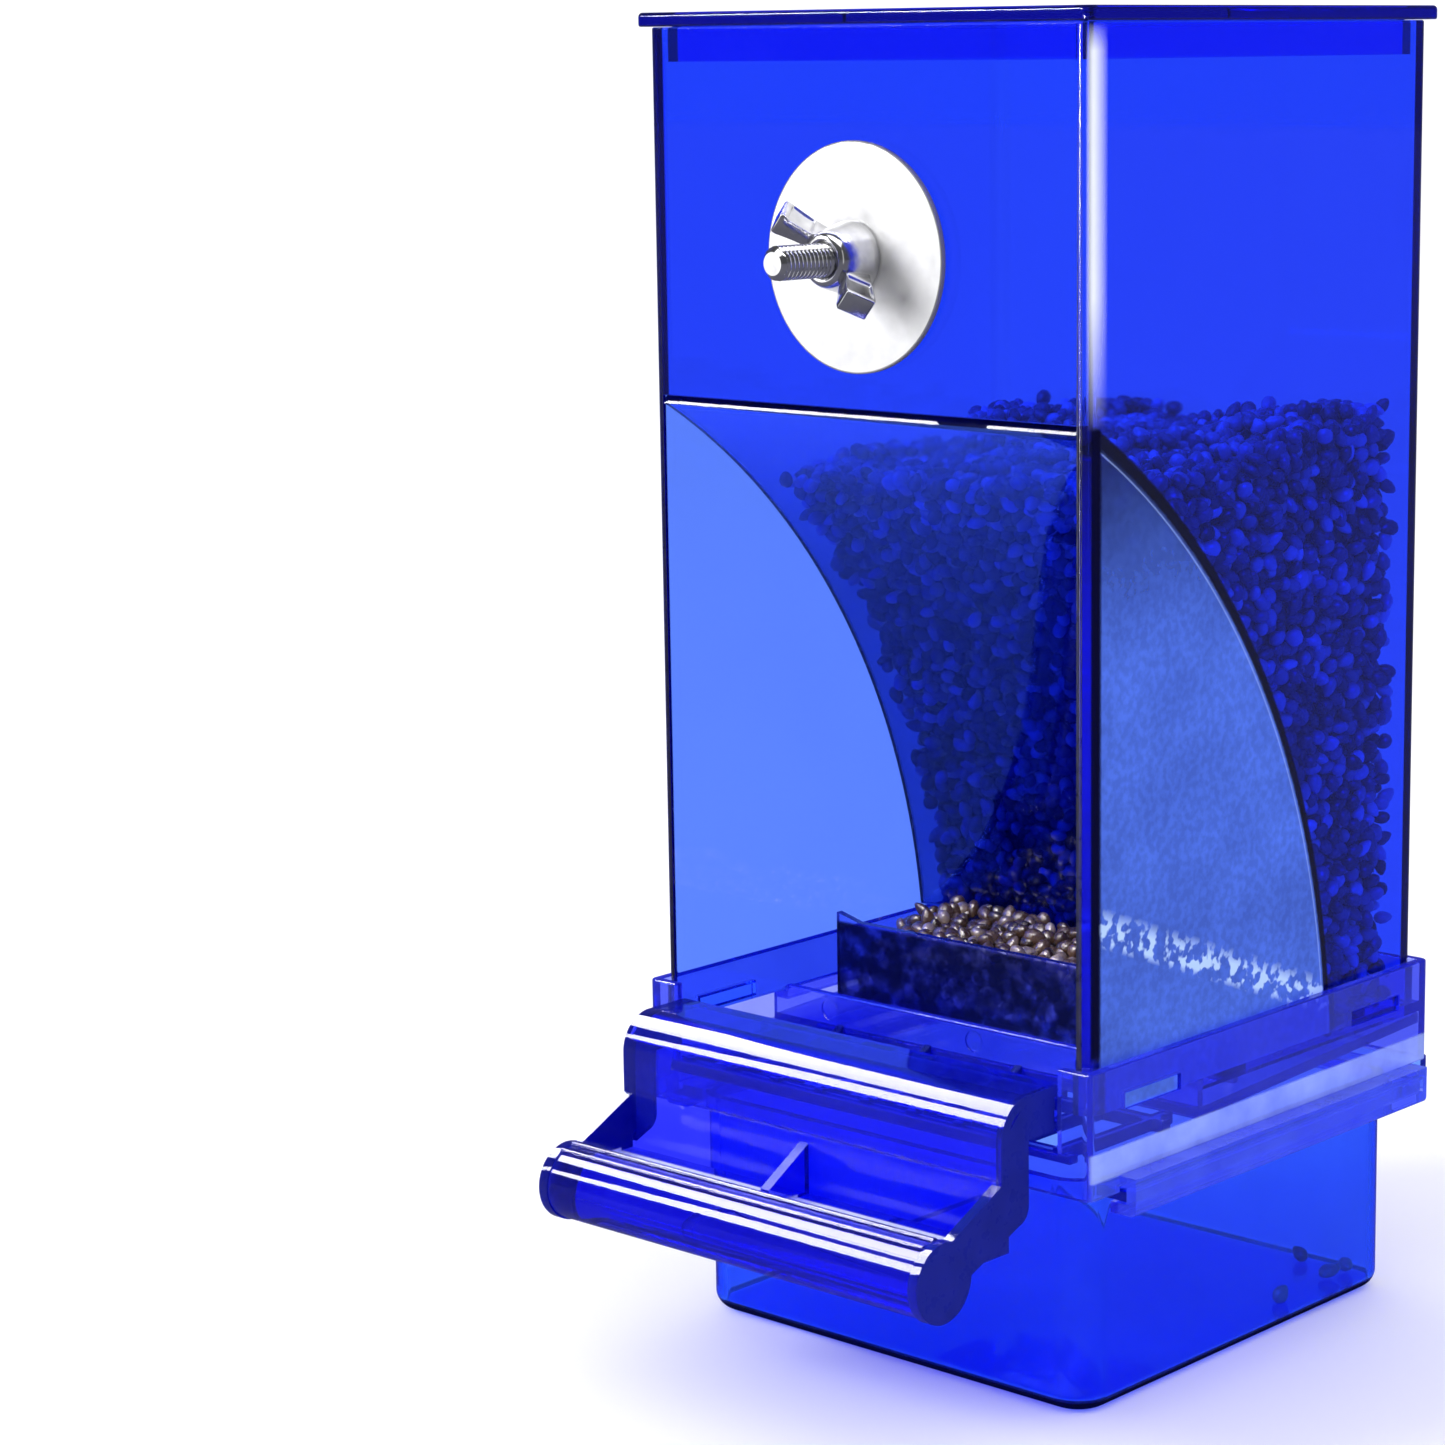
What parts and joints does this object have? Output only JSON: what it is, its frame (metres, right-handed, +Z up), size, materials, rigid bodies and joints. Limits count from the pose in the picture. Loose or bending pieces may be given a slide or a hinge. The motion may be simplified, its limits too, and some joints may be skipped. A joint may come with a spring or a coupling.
{
  "type": "gravity bird feeder",
  "caption": "Transparent square gravity feeder for a bird cage, with a curved seed baffle, a perch, a husk drawer and a bolt clamp.",
  "frame": {"origin": "centre of the husk drawer's underside, on the hopper's upright centre line", "axes": "+Z up, -Y the front with the bird's opening and the perch, +X to the right seen from the front"},
  "size_m": [0.112, 0.1451, 0.2433],
  "materials": {
    "hopper_plastic": "clear blue tinted, polished",
    "frame_plastic": "clear blue-violet tinted, polished",
    "drawer_plastic": "clear blue tinted, polished",
    "perch_plastic": "deep blue, polished",
    "bright_steel": "bright zinc plated, polished"
  },
  "bodies": {
    "feeder": {"hopper_shell": "hopper_plastic", "curved_baffle": "hopper_plastic", "base_frame": "frame_plastic", "seed_tray": "frame_plastic", "husk_grille": "frame_plastic", "perch_bracket": "frame_plastic", "perch_bar": "perch_plastic", "clamp_bolt": "bright_steel", "bolt_washer": "bright_steel"},
    "lid": {"lid": "hopper_plastic"},
    "drawer": {"husk_drawer": "drawer_plastic"},
    "disc": {"clamp_disc": "bright_steel"},
    "nut": {"wing_nut": "bright_steel"}
  },
  "joints": [
    {"name": "lid_lift", "type": "slide", "parent": "feeder", "child": "lid", "axis": [0, 0, 1], "range_m": [0, 0.03]},
    {"name": "drawer_pull", "type": "slide", "parent": "feeder", "child": "drawer", "axis": [0, 1, 0], "range_m": [0, 0.085]},
    {"name": "disc_slide", "type": "slide", "parent": "feeder", "child": "disc", "axis": [0, -1, 0], "range_m": [0, 0.0081]},
    {"name": "nut_turn", "type": "hinge", "parent": "disc", "child": "nut", "pos_m": [0, -0.05165, 0.2012], "axis": [0, -1, 0], "range_deg": [0, 2880]}
  ],
  "couplings": [
    {"joint": "disc_slide", "follows": "nut_turn", "m_per_rad": 0.00015915}
  ]
}
